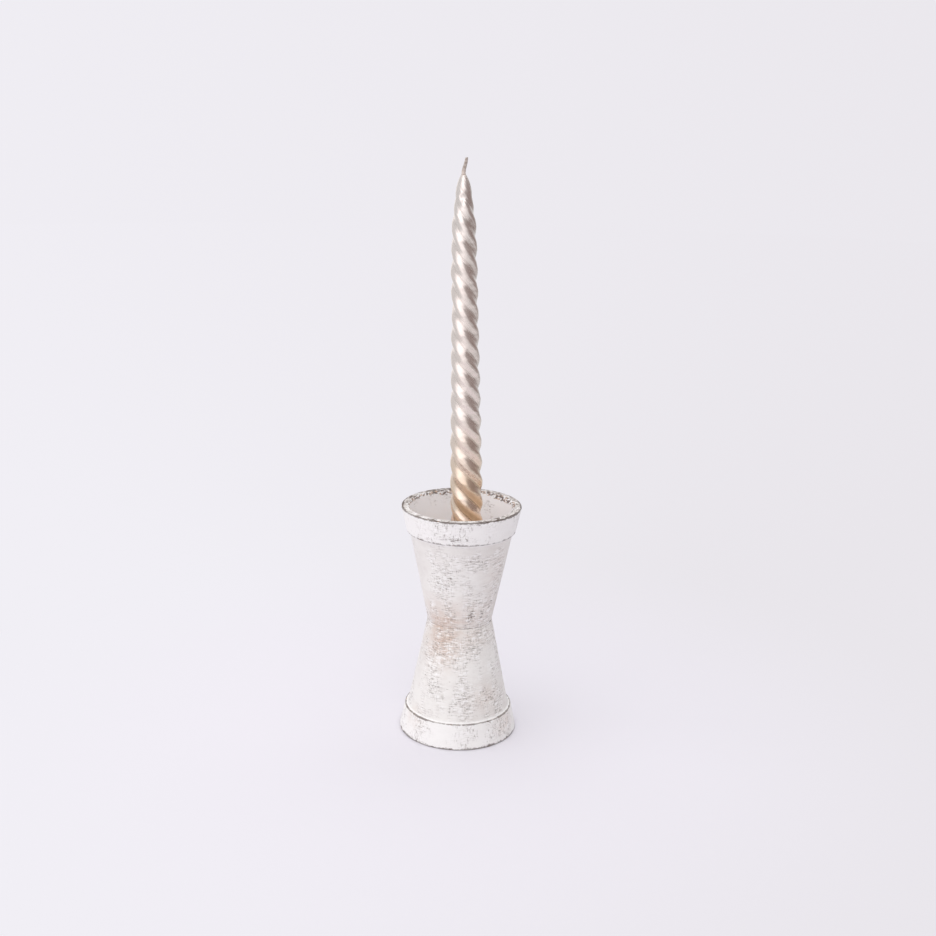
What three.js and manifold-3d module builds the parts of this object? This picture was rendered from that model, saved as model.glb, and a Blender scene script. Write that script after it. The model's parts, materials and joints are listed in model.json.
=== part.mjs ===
// Candlestick: two terracotta flower pots bonded foot to foot, with a twisted taper candle.
// The lower pot stands on its mouth. The candle's foot is set in wax on the upper pot's floor.
// Millimetres, +Z up. The origin lies on the table, on the axis of the pots.
import * as THREE from 'three';
import { mergeVertices } from 'three/addons/utils/BufferGeometryUtils.js';
import Module from 'manifold-3d';

// Pot outside, the same casting used twice
const POT_HEIGHT = 84.7;
const RIM_RADIUS = 42.6;
const BAND_HEIGHT = 18.3;
const BAND_LOWER_RADIUS = 38.6;
const BODY_TOP_RADIUS = 36.6;
const FOOT_RADIUS = 23.2;

// Pot inside
const RIM_WALL = 5.7;
const FLOOR_WALL = 5.3;
const FLOOR_THICKNESS = 8.5;
const DRAIN_RADIUS = 6.0;

// Pot edges
const RIM_EDGE = 1.3;
const BAND_EDGE = 0.8;
const BAND_FILLET = 5.0;
const FOOT_EDGE = 1.0;
const FLOOR_FILLET = 4.0;

// Joint between the pots
const BOND_THICKNESS = 0.6;
const BOND_SETBACK = 0.4;
const DOWEL_CHAMFER = 0.8;

// Candle
const CANDLE_LENGTH = 301.5;
const RIDGE_RADIUS = 11.4;
const GROOVE_DEPTH = 1.7;
const LOBES = 4;
const TWIST_LEAD = 59.45;
const TWIST_START = 8.5;
const TAPER_START = 90.0;
const SHOULDER_DROP = 42.0;
const SHOULDER_RADIUS = 8.6;
const NOSE_DROP = 12.5;
const NOSE_RADIUS = 5.3;
const TIP_RADIUS = 2.0;
const GROOVE_FADE = 9.0;
const SHANK_RADIUS = 11.2;
const SHANK_LENGTH = 25.0;
const SHANK_BLEND = 20.0;
const CANDLE_LEAN = 1.6;

// Wick
const WICK_RADIUS = 1.4;
const WICK_STUB = 12.0;
const WICK_BEND = 1.7;
const WICK_TIP_RADIUS = 0.9;

// Bed of set wax round the candle's foot
const SEAT_DEPTH = 13.0;
const SEAT_UNDER_FOOT = 2.2;
const SEAT_MENISCUS = 1.2;
const FOOT_TO_WALL = 3.4;

// Gaps between pieces: round a fitted piece, and between two flat bonded faces
const CLEARANCE = 0.3;
const FACE_GAP = 0.05;

// Facets
const TURN_STEPS = 60;
const ROUND_STEPS = 3;
const LOBE_STEPS = 8;
const CANDLE_STEP = 3.0;
const WICK_SIDES = 8;
const STUB_STEPS = 6;

const wasm = await Module();
wasm.setup();

// A closed mesh as a solid for booleans: only positions are kept, and shared vertices are merged.
function solidOf(geometry) {
  const bare = geometry.clone();
  bare.deleteAttribute('normal');
  bare.deleteAttribute('uv');
  const merged = mergeVertices(bare, 1e-4);
  const vertProperties = new Float32Array(merged.attributes.position.array);
  const triVerts = new Uint32Array(merged.index.array);
  return new wasm.Manifold(new wasm.Mesh({ numProp: 3, vertProperties, triVerts }));
}

function geometryOf(solid) {
  const mesh = solid.getMesh();
  const geometry = new THREE.BufferGeometry();
  geometry.setAttribute('position', new THREE.BufferAttribute(mesh.vertProperties, 3));
  geometry.setIndex(new THREE.BufferAttribute(mesh.triVerts, 1));
  geometry.computeVertexNormals();
  return geometry;
}

// Closed profile from corners [radius, height, rounding], anticlockwise in the radius-height plane.
// Each rounding is a quadratic curve between its two tangent points, at most half of either side long.
function roundedProfile(corners) {
  const points = [];
  corners.forEach(([r, z, rounding = 0], i) => {
    const corner = new THREE.Vector2(r, z);
    if (rounding === 0) {
      points.push(corner);
      return;
    }
    const tangentPoint = (neighbour) => {
      const side = new THREE.Vector2(neighbour[0] - r, neighbour[1] - z);
      const reach = Math.min(rounding, side.length() / 2);
      return corner.clone().add(side.setLength(reach));
    };
    const before = tangentPoint(corners.at(i - 1));
    const after = tangentPoint(corners[(i + 1) % corners.length]);
    points.push(...new THREE.QuadraticBezierCurve(before, corner, after).getPoints(ROUND_STEPS));
  });
  points.push(points[0].clone());
  return points;
}

// Solid of revolution about +Z.
function revolve(profile, steps = TURN_STEPS) {
  return new THREE.LatheGeometry(profile, steps).rotateX(Math.PI / 2);
}

// Closed solid through equal rings of points, each anticlockwise seen from its far end, with fan ends.
function loft(rings) {
  const count = rings[0].length;
  const first = rings[0];
  const last = rings.at(-1);
  const centreOf = (ring) => ring.reduce((sum, p) => sum.add(p), new THREE.Vector3()).divideScalar(count);
  const points = [...rings.flat(), centreOf(first), centreOf(last)];
  const index = [];
  const firstCentre = points.length - 2;
  const lastCentre = points.length - 1;
  const lastStart = (rings.length - 1) * count;
  for (let i = 0; i < count; i += 1) {
    const next = (i + 1) % count;
    for (let j = 0; j < rings.length - 1; j += 1) {
      const low = j * count;
      const high = low + count;
      index.push(low + i, low + next, high + next);
      index.push(low + i, high + next, high + i);
    }
    index.push(firstCentre, next, i);
    index.push(lastCentre, lastStart + i, lastStart + next);
  }
  const geometry = new THREE.BufferGeometry().setFromPoints(points);
  geometry.setIndex(index);
  geometry.computeVertexNormals();
  return geometry;
}

// Pot with its foot at height 0 and its mouth up. The outside is a straight cone under a tapered band.
const bandBottom = POT_HEIGHT - BAND_HEIGHT;
const bodySlope = (BODY_TOP_RADIUS - FOOT_RADIUS) / bandBottom;
const floorRadius = FOOT_RADIUS + bodySlope * FLOOR_THICKNESS - FLOOR_WALL;
const mouthRadius = RIM_RADIUS - RIM_WALL;
const insideSlope = (mouthRadius - floorRadius) / (POT_HEIGHT - FLOOR_THICKNESS);

function insideRadius(height) {
  return floorRadius + insideSlope * (height - FLOOR_THICKNESS);
}

function potGeometry() {
  return revolve(roundedProfile([
    [DRAIN_RADIUS, 0],
    [FOOT_RADIUS, 0, FOOT_EDGE],
    [BODY_TOP_RADIUS, bandBottom, BAND_FILLET],
    [BAND_LOWER_RADIUS, bandBottom, BAND_EDGE],
    [RIM_RADIUS, POT_HEIGHT, RIM_EDGE],
    [mouthRadius, POT_HEIGHT, RIM_EDGE],
    [floorRadius, FLOOR_THICKNESS, FLOOR_FILLET],
    [DRAIN_RADIUS, FLOOR_THICKNESS],
  ]));
}

// Heights up the stack
const lowerFoot = POT_HEIGHT;
const upperFoot = lowerFoot + BOND_THICKNESS + 2 * FACE_GAP;
const upperFloor = upperFoot + FLOOR_THICKNESS;
const lowerFloor = lowerFoot - FLOOR_THICKNESS;

// Disc of adhesive between the two feet, open round the drain holes, set back from the rounded edges.
function bondGeometry() {
  const low = lowerFoot + FACE_GAP;
  const high = low + BOND_THICKNESS;
  const inner = DRAIN_RADIUS + BOND_SETBACK;
  const outer = FOOT_RADIUS - FOOT_EDGE - BOND_SETBACK;
  return revolve(roundedProfile([[inner, low], [outer, low], [outer, high], [inner, high]]));
}

// Peg through both drain holes, flush with both floors, with chamfered ends.
function dowelGeometry() {
  const radius = DRAIN_RADIUS - CLEARANCE;
  return revolve([
    new THREE.Vector2(0, lowerFloor),
    new THREE.Vector2(radius - DOWEL_CHAMFER, lowerFloor),
    new THREE.Vector2(radius, lowerFloor + DOWEL_CHAMFER),
    new THREE.Vector2(radius, upperFloor - DOWEL_CHAMFER),
    new THREE.Vector2(radius - DOWEL_CHAMFER, upperFloor),
    new THREE.Vector2(0, upperFloor),
  ]);
}

// The candle's own frame: its foot is at height 0, and it leans towards -X from a foot near the +X wall.
const footHeight = upperFloor + SEAT_UNDER_FOOT;
const footOffset = insideRadius(footHeight - upperFoot) - FOOT_TO_WALL - SHANK_RADIUS;
const candle = new THREE.Group();
candle.position.set(footOffset, 0, footHeight);
candle.rotation.y = -THREE.MathUtils.degToRad(CANDLE_LEAN);
candle.updateMatrixWorld();

// Wax poured round the foot: it fills the pot's cone, climbs its wall a little, and keeps the foot's print.
function seatGeometry() {
  const low = FLOOR_THICKNESS + CLEARANCE;
  const top = FLOOR_THICKNESS + SEAT_DEPTH;
  const wall = (height) => insideRadius(height) - CLEARANCE;
  const flatRadius = wall(top) - 2 * SEAT_MENISCUS;
  const bed = revolve([
    new THREE.Vector2(0, low),
    ...new THREE.QuadraticBezierCurve(
      new THREE.Vector2(wall(low) - FLOOR_FILLET, low),
      new THREE.Vector2(wall(low), low),
      new THREE.Vector2(wall(low + FLOOR_FILLET), low + FLOOR_FILLET),
    ).getPoints(ROUND_STEPS),
    ...new THREE.QuadraticBezierCurve(
      new THREE.Vector2(wall(top + SEAT_MENISCUS), top + SEAT_MENISCUS),
      new THREE.Vector2(wall(top), top),
      new THREE.Vector2(flatRadius, top),
    ).getPoints(ROUND_STEPS),
    new THREE.Vector2(0, top),
  ]).translate(0, 0, upperFoot);
  const printDepth = SEAT_DEPTH + SEAT_MENISCUS;
  const print = new THREE.CylinderGeometry(
    SHANK_RADIUS + CLEARANCE, SHANK_RADIUS + CLEARANCE, printDepth, TURN_STEPS,
  );
  print.rotateX(Math.PI / 2).translate(0, 0, printDepth / 2 - CLEARANCE).applyMatrix4(candle.matrixWorld);
  return geometryOf(solidOf(bed).subtract(solidOf(print)));
}

// Outline over the ridges, as [radius, height] stations: level above the shank, a long straight taper,
// then a drawn-in shoulder and the rounded nose left by the last dip.
function ridgeStations() {
  const shoulder = CANDLE_LENGTH - SHOULDER_DROP;
  const nose = CANDLE_LENGTH - NOSE_DROP;
  const straight = (from, to, fromRadius, toRadius) => {
    const count = Math.max(1, Math.round((to - from) / CANDLE_STEP));
    const line = new THREE.LineCurve(new THREE.Vector2(fromRadius, from), new THREE.Vector2(toRadius, to));
    return line.getPoints(count).slice(0, -1);
  };
  const drawnIn = new THREE.CubicBezierCurve(
    new THREE.Vector2(SHOULDER_RADIUS, shoulder),
    new THREE.Vector2(SHOULDER_RADIUS * 0.94, THREE.MathUtils.lerp(shoulder, nose, 0.78)),
    new THREE.Vector2(NOSE_RADIUS, THREE.MathUtils.lerp(shoulder, nose, 0.82)),
    new THREE.Vector2(NOSE_RADIUS, nose),
  );
  const rounded = new THREE.QuadraticBezierCurve(
    new THREE.Vector2(NOSE_RADIUS, nose),
    new THREE.Vector2(NOSE_RADIUS, THREE.MathUtils.lerp(nose, CANDLE_LENGTH, 0.5)),
    new THREE.Vector2(TIP_RADIUS, CANDLE_LENGTH),
  );
  const shankEnd = SHANK_LENGTH + SHANK_BLEND;
  return [
    new THREE.Vector2(SHANK_RADIUS, 0),
    ...straight(SHANK_LENGTH, shankEnd, SHANK_RADIUS, RIDGE_RADIUS),
    ...straight(shankEnd, TAPER_START, RIDGE_RADIUS, RIDGE_RADIUS),
    ...straight(TAPER_START, shoulder, RIDGE_RADIUS, SHOULDER_RADIUS),
    ...drawnIn.getPoints(Math.round((nose - shoulder) / CANDLE_STEP)).slice(0, -1),
    ...rounded.getPoints(2 * ROUND_STEPS),
  ];
}

// Radius of the lobed section at an angle from a ridge: a cosine wave between the ridge and groove radii.
function lobedRadius(angle, ridge, groove) {
  return (ridge + groove) / 2 + ((ridge - groove) / 2) * Math.cos(LOBES * angle);
}

// Twisted candle: the lobed section turns left-handed with height, fading to round at the shank and nose.
function candleGeometry() {
  const sides = LOBES * LOBE_STEPS;
  const nose = CANDLE_LENGTH - NOSE_DROP;
  const rings = ridgeStations().map(({ x: ridge, y: height }) => {
    const fadeIn = THREE.MathUtils.smoothstep(height, SHANK_LENGTH, SHANK_LENGTH + SHANK_BLEND);
    const fadeOut = 1 - THREE.MathUtils.smoothstep(height, nose - GROOVE_FADE, nose);
    const groove = ridge * (1 - (GROOVE_DEPTH / RIDGE_RADIUS) * fadeIn * fadeOut);
    const turn = THREE.MathUtils.degToRad(TWIST_START) - (2 * Math.PI * height) / TWIST_LEAD;
    return Array.from({ length: sides }, (_, i) => {
      const inLobe = ((i % LOBE_STEPS) / LOBE_STEPS - 0.5) * ((2 * Math.PI) / LOBES);
      const radius = lobedRadius(inLobe, ridge, groove);
      const angle = turn + inLobe + Math.floor(i / LOBE_STEPS) * ((2 * Math.PI) / LOBES);
      return new THREE.Vector3(radius * Math.cos(angle), radius * Math.sin(angle), height);
    });
  });
  const boreRadius = WICK_RADIUS + CLEARANCE;
  const bore = new THREE.CylinderGeometry(boreRadius, boreRadius, CANDLE_LENGTH + 2, WICK_SIDES);
  bore.rotateX(Math.PI / 2).translate(0, 0, CANDLE_LENGTH / 2);
  return geometryOf(solidOf(loft(rings)).subtract(solidOf(bore)));
}

// Braided wick: straight up the bore, then a stub that sways back and bends over towards +X.
function wickGeometry() {
  const ring = (radius, offset, height) => Array.from({ length: WICK_SIDES }, (_, i) => {
    const angle = (2 * Math.PI * i) / WICK_SIDES;
    return new THREE.Vector3(offset + radius * Math.cos(angle), radius * Math.sin(angle), height);
  });
  const stub = Array.from({ length: STUB_STEPS }, (_, i) => {
    const share = (i + 1) / STUB_STEPS;
    const radius = THREE.MathUtils.lerp(WICK_RADIUS, WICK_TIP_RADIUS, share ** 2);
    return ring(radius, WICK_BEND * share ** 2, CANDLE_LENGTH + WICK_STUB * share);
  });
  return loft([ring(WICK_RADIUS, 0, 0), ring(WICK_RADIUS, 0, CANDLE_LENGTH), ...stub]);
}

const paintedTerracotta = { color: 0xe8e3e0, roughness: 0.85, metalness: 0.0 };
const adhesive = { color: 0xd9d2c4, roughness: 0.6, metalness: 0.0 };
const beech = { color: 0xc9a678, roughness: 0.7, metalness: 0.0 };
const bareWax = { color: 0xe9dfc8, roughness: 0.45, metalness: 0.0 };
const goldLacquer = { color: 0xc9ae8c, roughness: 0.3, metalness: 0.85 };
const cotton = { color: 0xb39a78, roughness: 0.9, metalness: 0.0 };

function piece(name, geometry, finish) {
  const mesh = new THREE.Mesh(geometry, new THREE.MeshStandardMaterial(finish));
  mesh.name = name;
  return mesh;
}

const lowerPot = piece('lower_pot', potGeometry(), paintedTerracotta);
lowerPot.rotation.x = Math.PI;
lowerPot.position.z = lowerFoot;

const upperPot = piece('upper_pot', potGeometry(), paintedTerracotta);
upperPot.position.z = upperFoot;

candle.add(piece('candle_body', candleGeometry(), goldLacquer));
candle.add(piece('wick', wickGeometry(), cotton));

const candlestick = new THREE.Group();
candlestick.add(
  lowerPot,
  piece('bond_ring', bondGeometry(), adhesive),
  piece('centre_dowel', dowelGeometry(), beech),
  upperPot,
  piece('wax_seat', seatGeometry(), bareWax),
  candle,
);

export default candlestick;
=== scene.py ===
"""How a candlestick looks: two painted flower pots joined foot to foot, and a twisted gold candle.

Metres, with +Z up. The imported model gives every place. Each section makes one piece, in the order in which
the object is put together, and the last sections are the table, the light and the camera.
"""
import json
import math

import bpy
import numpy as np
from mathutils import Matrix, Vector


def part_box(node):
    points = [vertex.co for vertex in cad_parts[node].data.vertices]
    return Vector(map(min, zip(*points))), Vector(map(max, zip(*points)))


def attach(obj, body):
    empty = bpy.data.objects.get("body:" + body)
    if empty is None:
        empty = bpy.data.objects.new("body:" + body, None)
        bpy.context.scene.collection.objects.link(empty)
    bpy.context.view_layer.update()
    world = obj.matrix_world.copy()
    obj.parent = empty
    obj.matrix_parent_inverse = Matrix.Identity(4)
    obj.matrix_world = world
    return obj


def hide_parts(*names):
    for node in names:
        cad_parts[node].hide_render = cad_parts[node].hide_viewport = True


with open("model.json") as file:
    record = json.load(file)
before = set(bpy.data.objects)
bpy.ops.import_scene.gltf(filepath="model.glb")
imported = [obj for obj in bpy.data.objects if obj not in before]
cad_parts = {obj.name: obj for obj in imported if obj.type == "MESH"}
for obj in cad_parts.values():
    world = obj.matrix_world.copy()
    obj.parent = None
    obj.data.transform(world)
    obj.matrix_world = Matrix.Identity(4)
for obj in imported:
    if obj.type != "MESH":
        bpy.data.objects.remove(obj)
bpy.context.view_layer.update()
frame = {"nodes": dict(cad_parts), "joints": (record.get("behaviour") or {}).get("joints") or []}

# Lower pot
# A pressed terracotta flower pot that stands on its mouth. It is brushed with white chalk paint and rubbed
# back when dry, which bares dark clay along its edges and in short dashes across the brush marks. The dark
# line along the mouth, where it stands on the table, is also painted contact shadow.
POT_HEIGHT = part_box("lower_pot")[1].z
RIM_RADIUS = 0.0426
BAND_HEIGHT = 0.0183
BAND_LOWER_RADIUS = 0.0386
BODY_TOP_RADIUS = 0.0366
FOOT_RADIUS = 0.0232
RIM_WALL = 0.0057
FLOOR_WALL = 0.0053
FLOOR_THICKNESS = 0.0085
DRAIN_RADIUS = 0.0060
RIM_EDGE = 0.0013
BAND_EDGE = 0.0008
BAND_FILLET = 0.0050
FOOT_EDGE = 0.0010
FLOOR_FILLET = 0.0040
POT_ROWS = 208
POT_COLUMNS = 480
ROUND_POINTS = 25
OUTLINE_SAMPLES = 5000
FINE_STEP = 0.00022
COARSE_STEP = 0.00130
EDGE_REACH = 0.0030
BAND_CORNER, RIM_CORNER, MOUTH_CORNER = 3, 4, 5
LOWER_SEED = 11
OUT_OF_ROUND, ROUND_WAVES = 0.00010, (2, 3)
BRUSH_RELIEF, BRUSH_WAVES = 0.000008, (90, 8)
CHIP_DEPTH, CHIP_WAVES = 0.00040, (70, 60)
CHIP_FROM, CHIP_TO = 0.7, 1.9
CHIP_REACH = 0.0009
RUB_LEVEL, RUB_SPREAD, RUB_WAVES = 0.30, 0.11, (6, 22)
RIM_RUB = 0.25
CLEAN_LIP = 4.0
CLEAN_WIDTH = 46.0
RIM_STRETCH = 4
# Where the painted highlight lies on the step beside the band, and how wide it is.
LEDGE_HIGHLIGHT_GAP = 0.0014
LEDGE_HIGHLIGHT_WIDTH = 0.0008
INSIDE_FROM, INSIDE_TO = 0.003, 0.006
MILLIMETRES = 1000

band_bottom = POT_HEIGHT - BAND_HEIGHT
body_slope = (BODY_TOP_RADIUS - FOOT_RADIUS) / band_bottom
floor_radius = FOOT_RADIUS + body_slope * FLOOR_THICKNESS - FLOOR_WALL
mouth_radius = RIM_RADIUS - RIM_WALL
inside_slope = (mouth_radius - floor_radius) / (POT_HEIGHT - FLOOR_THICKNESS)
POT_CORNERS = [
    (DRAIN_RADIUS, 0, 0),
    (FOOT_RADIUS, 0, FOOT_EDGE),
    (BODY_TOP_RADIUS, band_bottom, BAND_FILLET),
    (BAND_LOWER_RADIUS, band_bottom, BAND_EDGE),
    (RIM_RADIUS, POT_HEIGHT, RIM_EDGE),
    (mouth_radius, POT_HEIGHT, RIM_EDGE),
    (floor_radius, FLOOR_THICKNESS, FLOOR_FILLET),
    (DRAIN_RADIUS, FLOOR_THICKNESS, 0),
]


def rounded_outline(corners):
    """Closed outline through corners (radius, height, rounding), anticlockwise.

    Each corner becomes the quadratic curve between the points that lie its rounding away along its two
    sides, at most half a side, with the corner as control point.
    """
    corner = np.array([c[:2] for c in corners])
    rounding = np.array([c[2] for c in corners])
    side = np.roll(corner, -1, 0) - corner
    length = np.hypot(*side.T)
    after = corner + side * np.minimum(rounding / length, 0.5)[:, None]
    share = np.minimum(rounding / np.roll(length, 1), 0.5)
    before = corner - np.roll(side, 1, 0) * share[:, None]
    t = np.linspace(0, 1, ROUND_POINTS)[None, :, None]
    curves = (1 - t) ** 2 * before[:, None] + 2 * t * (1 - t) * corner[:, None] + t**2 * after[:, None]
    return curves.reshape(-1, 2)


def spaced_outline(corners, edges, count):
    """Rounded outline respaced to a count of points, which crowd together near the corners listed as edges.

    The spacing grows from FINE_STEP at an edge to COARSE_STEP at EDGE_REACH from it, and is then scaled to
    the count. Returns the points, their outward normals, and the distance along the outline from each edge
    to each point.
    """
    outline = rounded_outline(corners)
    outline = np.vstack([outline, outline[:1]])
    travel = np.concatenate([[0], np.hypot(*np.diff(outline, axis=0).T).cumsum()])
    at_edge = travel[np.array(edges) * ROUND_POINTS + ROUND_POINTS // 2]
    dense = np.linspace(0, travel[-1], OUTLINE_SAMPLES)
    gap = np.abs(dense - at_edge[:, None]).min(0)
    pace = FINE_STEP + (COARSE_STEP - FINE_STEP) * np.clip(gap / EDGE_REACH, 0, 1)
    crowd = np.concatenate([[0], (np.diff(dense) / pace[1:]).cumsum()])
    along = np.interp(np.arange(count) / count * crowd[-1], crowd, dense)
    points = np.stack([np.interp(along, travel, side) for side in outline.T], 1)
    ahead = np.roll(points, -1, 0) - np.roll(points, 1, 0)
    normals = np.stack([ahead[:, 1], -ahead[:, 0]], 1) / np.hypot(*ahead.T)[:, None]
    return points, normals, np.abs(along - at_edge[:, None])


def mottle(seed, shape, waves):
    """Random relief on a grid that closes on itself both ways, with mean 0 and spread 1.

    It is white noise whose Fourier terms fade as a bell curve past the given waves down and round the grid.
    """
    down, around = (np.fft.fftfreq(n) * n / w for n, w in zip(shape, waves))
    fade = np.exp(-(down[:, None] ** 2) - around**2)
    noise = np.random.default_rng(seed).standard_normal(shape)
    relief = np.fft.ifft2(np.fft.fft2(noise) * fade).real
    return (relief - relief.mean()) / relief.std()


def smooth_step(low, high, value):
    """0 below low and 1 above high, with the curve 3t² - 2t³ between."""
    t = np.clip((value - low) / (high - low), 0, 1)
    return t * t * (3 - 2 * t)


def spots(azimuth, height, marks):
    """Sum of bell-shaped spots over azimuth and height.

    Each mark is (azimuth, height, half width, half height, strength), in degrees from the front towards +X
    and in metres.
    """
    total = np.zeros(np.broadcast_shapes(azimuth.shape, height.shape))
    for mark_azimuth, mark_height, wide, tall, strength in marks:
        turn = (azimuth - mark_azimuth + 180) % 360 - 180
        total += strength * np.exp(-((turn / wide) ** 2) - ((height - mark_height) / tall) ** 2)
    return total


def grid_mesh(name, points, ends, fields):
    """Smooth mesh over a grid of points, closed round its columns.

    Its first and last rows are joined, capped by flat faces or left open. fields holds arrays of one value
    a point, which become attributes.
    """
    rows, columns = points.shape[:2]
    index = np.arange(rows * columns).reshape(rows, columns)
    beside = np.roll(index, -1, 1)
    quads = np.stack([index, beside, np.roll(beside, -1, 0), np.roll(index, -1, 0)], -1)
    faces = quads[: rows if ends == "joined" else rows - 1].reshape(-1, 4).tolist()
    if ends == "capped":
        faces += [index[0, ::-1].tolist(), index[-1].tolist()]
    mesh = bpy.data.meshes.new(name)
    mesh.from_pydata(points.reshape(-1, 3).tolist(), [], faces)
    mesh.shade_smooth()
    for field, values in fields.items():
        values = np.broadcast_to(values, (rows, columns)).astype(np.float32)
        mesh.attributes.new(field, "FLOAT", "POINT").data.foreach_set("value", values.ravel())
    return mesh


def pot_mesh(name, seed, turned_over, rest_height, line_widths, rubbed_marks, warm_marks):
    """One pot as a revolved outline with hand-made flaws.

    The radius wanders a little round the pot. The skin moves along its normals by the brush marks, and at
    the three edges it is knocked in where a random relief is highest, but it never passes the flat rim.

    Fields: rubbed and warm are marks on the paint. ledge_highlight is a painted highlight, a bright
    line on the step beside the band. band is 1 on the band's face, and rim is 1 on the flat rim away
    from the front. edge is the distance to the band's and the rim's edges over the widths of their dark
    lines, which are bared clay and, under the upper pot's band and where the lower pot stands on the
    table, also painted shade. mouth is the distance to the mouth's edge in millimetres, raised on the
    rim and at the front, which stay cleaner. chip is how far the skin is knocked in, and inside is 1
    on the inner wall.
    """
    points, normals, gaps = spaced_outline(POT_CORNERS, (BAND_CORNER, RIM_CORNER, MOUTH_CORNER), POT_ROWS)
    shape = (POT_ROWS, POT_COLUMNS)
    turn = np.arange(POT_COLUMNS) / POT_COLUMNS * 2 * np.pi
    near_edge = np.exp(-((gaps.min(0) / CHIP_REACH) ** 2))[:, None]
    chip = near_edge * smooth_step(CHIP_FROM, CHIP_TO, mottle(seed, shape, CHIP_WAVES))
    lift = BRUSH_RELIEF * mottle(seed + 1, shape, BRUSH_WAVES) * (1 - near_edge) - CHIP_DEPTH * chip
    wander = OUT_OF_ROUND * mottle(seed + 2, shape, ROUND_WAVES)
    radius = points[:, :1] + normals[:, :1] * lift + wander
    height = np.minimum(points[:, 1:] + normals[:, 1:] * lift, POT_HEIGHT)
    side = -1 if turned_over else 1
    grid = np.stack([radius * np.cos(turn), side * radius * np.sin(turn), rest_height + side * height], -1)
    azimuth = np.degrees(np.arctan2(grid[..., 0], -grid[..., 1]))
    front = np.exp(-((azimuth / CLEAN_WIDTH) ** 2))
    row = np.arange(POT_ROWS)[:, None]
    band_row, rim_row, mouth_row = gaps.argmin(1)
    edge_band, edge_rim, edge_mouth = gaps[:, :, None]
    on_rim = (row > rim_row) & (row < mouth_row)
    rubbed = RUB_LEVEL + RUB_SPREAD * mottle(seed + 3, shape, RUB_WAVES)
    fields = {
        "ledge_highlight": (row < band_row) * np.exp(-(((edge_band - LEDGE_HIGHLIGHT_GAP) / LEDGE_HIGHLIGHT_WIDTH) ** 2)),
        "band": (row >= band_row) & (row <= rim_row),
        "rim": on_rim * (1 - front),
        "rubbed": rubbed + spots(azimuth, grid[..., 2], rubbed_marks) + RIM_RUB * on_rim,
        "warm": spots(azimuth, grid[..., 2], warm_marks),
        "edge": np.minimum(edge_band / line_widths[0], edge_rim / line_widths[1]),
        "mouth": MILLIMETRES * edge_mouth * np.where(on_rim, RIM_STRETCH, 1) + CLEAN_LIP * front,
        "chip": chip,
        "inside": (row > rim_row) * smooth_step(INSIDE_FROM, INSIDE_TO, edge_rim),
    }
    return grid_mesh(name, grid, "joined", fields)


class Field:
    """A socket in a material. Arithmetic on it adds Math nodes, and node() adds a node of any kind."""

    def __init__(self, tree, socket=None):
        self.tree = tree
        self.socket = socket

    def node(self, kind, settings, inputs, output=0):
        """Adds a node, sets its settings, then fills its inputs with values or fields.

        Inputs and the output that is returned go by name or place.
        """
        made = self.tree.nodes.new(kind)
        for name, value in settings.items():
            setattr(made, name, value)
        for key, value in inputs.items():
            if isinstance(value, Field):
                self.tree.links.new(value.socket, made.inputs[key])
            else:
                made.inputs[key].default_value = value
        return Field(self.tree, made.outputs[output] if made.outputs else None)

    def math(self, operation, *values):
        """One Math node on values or fields."""
        return self.node("ShaderNodeMath", {"operation": operation}, dict(enumerate(values)))

    def __add__(self, other):
        return self.math("ADD", self, other)

    def __sub__(self, other):
        return self.math("SUBTRACT", self, other)

    def __rsub__(self, other):
        return self.math("SUBTRACT", other, self)

    def __mul__(self, other):
        return self.math("MULTIPLY", self, other)

    __radd__ = __add__
    __rmul__ = __mul__

    def ramp(self, low, high):
        """0 at low and 1 at high, smooth between. With low above high it falls instead."""
        settings = {"interpolation_type": "SMOOTHSTEP"}
        return self.node("ShaderNodeMapRange", settings, {0: self, 1: low, 2: high})

    def mix(self, under, over):
        """The colour under where this field is 0, and over where it is 1."""
        return self.node("ShaderNodeMix", {"data_type": "RGBA"}, {0: self, 6: under, 7: over}, 2)


def new_material(name):
    """An empty material, and a field from which its nodes are made."""
    material = bpy.data.materials.new(name)
    material.use_nodes = True
    material.node_tree.nodes.clear()
    return material, Field(material.node_tree)


def finish_material(field, inputs):
    """Shows one Principled shader with these inputs as a material's surface."""
    shader = field.node("ShaderNodeBsdfPrincipled", {}, inputs)
    field.node("ShaderNodeOutputMaterial", {}, {"Surface": shader})


def attribute(field, name):
    """A field that the mesh carries, read by its name."""
    return field.node("ShaderNodeAttribute", {"attribute_name": name}, {}, "Fac")


def cloud(place, waves, detail):
    """Soft noise about 0.5, with the given waves a metre along x, y and z."""
    spread = place.node("ShaderNodeVectorMath", {"operation": "MULTIPLY"}, {0: place, 1: waves})
    return place.node("ShaderNodeTexNoise", {}, {"Vector": spread, "Scale": 1.0, "Detail": detail})


def bumped(field, strength, depth, height):
    """Normals tilted as if a height of 0 to 1 were a relief of the given depth."""
    return field.node("ShaderNodeBump", {}, {"Strength": strength, "Distance": depth, "Height": height})


def srgb(*levels):
    """Colour written as display levels from 0 to 255, as the linear colour that a socket takes.

    The display's curve is undone: a straight line near black, and a power of 2.4 above it.
    """
    share = np.array(levels) / 255
    linear = np.where(share <= 0.04045, share / 12.92, ((share + 0.055) / 1.055) ** 2.4)
    return (*linear.tolist(), 1.0)


PAINT_BRIGHT_AND_HIGHLIGHT = srgb(250, 248, 248)
# Painted light for the inner wall, whiter than the paint outside.
INSIDE_PAINTED_LIGHT = srgb(253, 252, 255)
PAINT_WHITE = srgb(238, 235, 232)
PAINT_GREY = srgb(218, 212, 209)
THIN_PAINT = srgb(207, 182, 166)
FURROW_SHADE_GREY = srgb(138, 126, 121)
DASH_BROWN = srgb(104, 90, 82)
EDGE_WEAR_AND_SHADE_BROWN = srgb(86, 71, 64)
CHIP_DARK = srgb(84, 64, 56)
CHIP_TAN = srgb(198, 166, 142)
BARE_CLAY = srgb(186, 110, 76)
DARK_CLAY = srgb(150, 84, 58)
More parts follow.
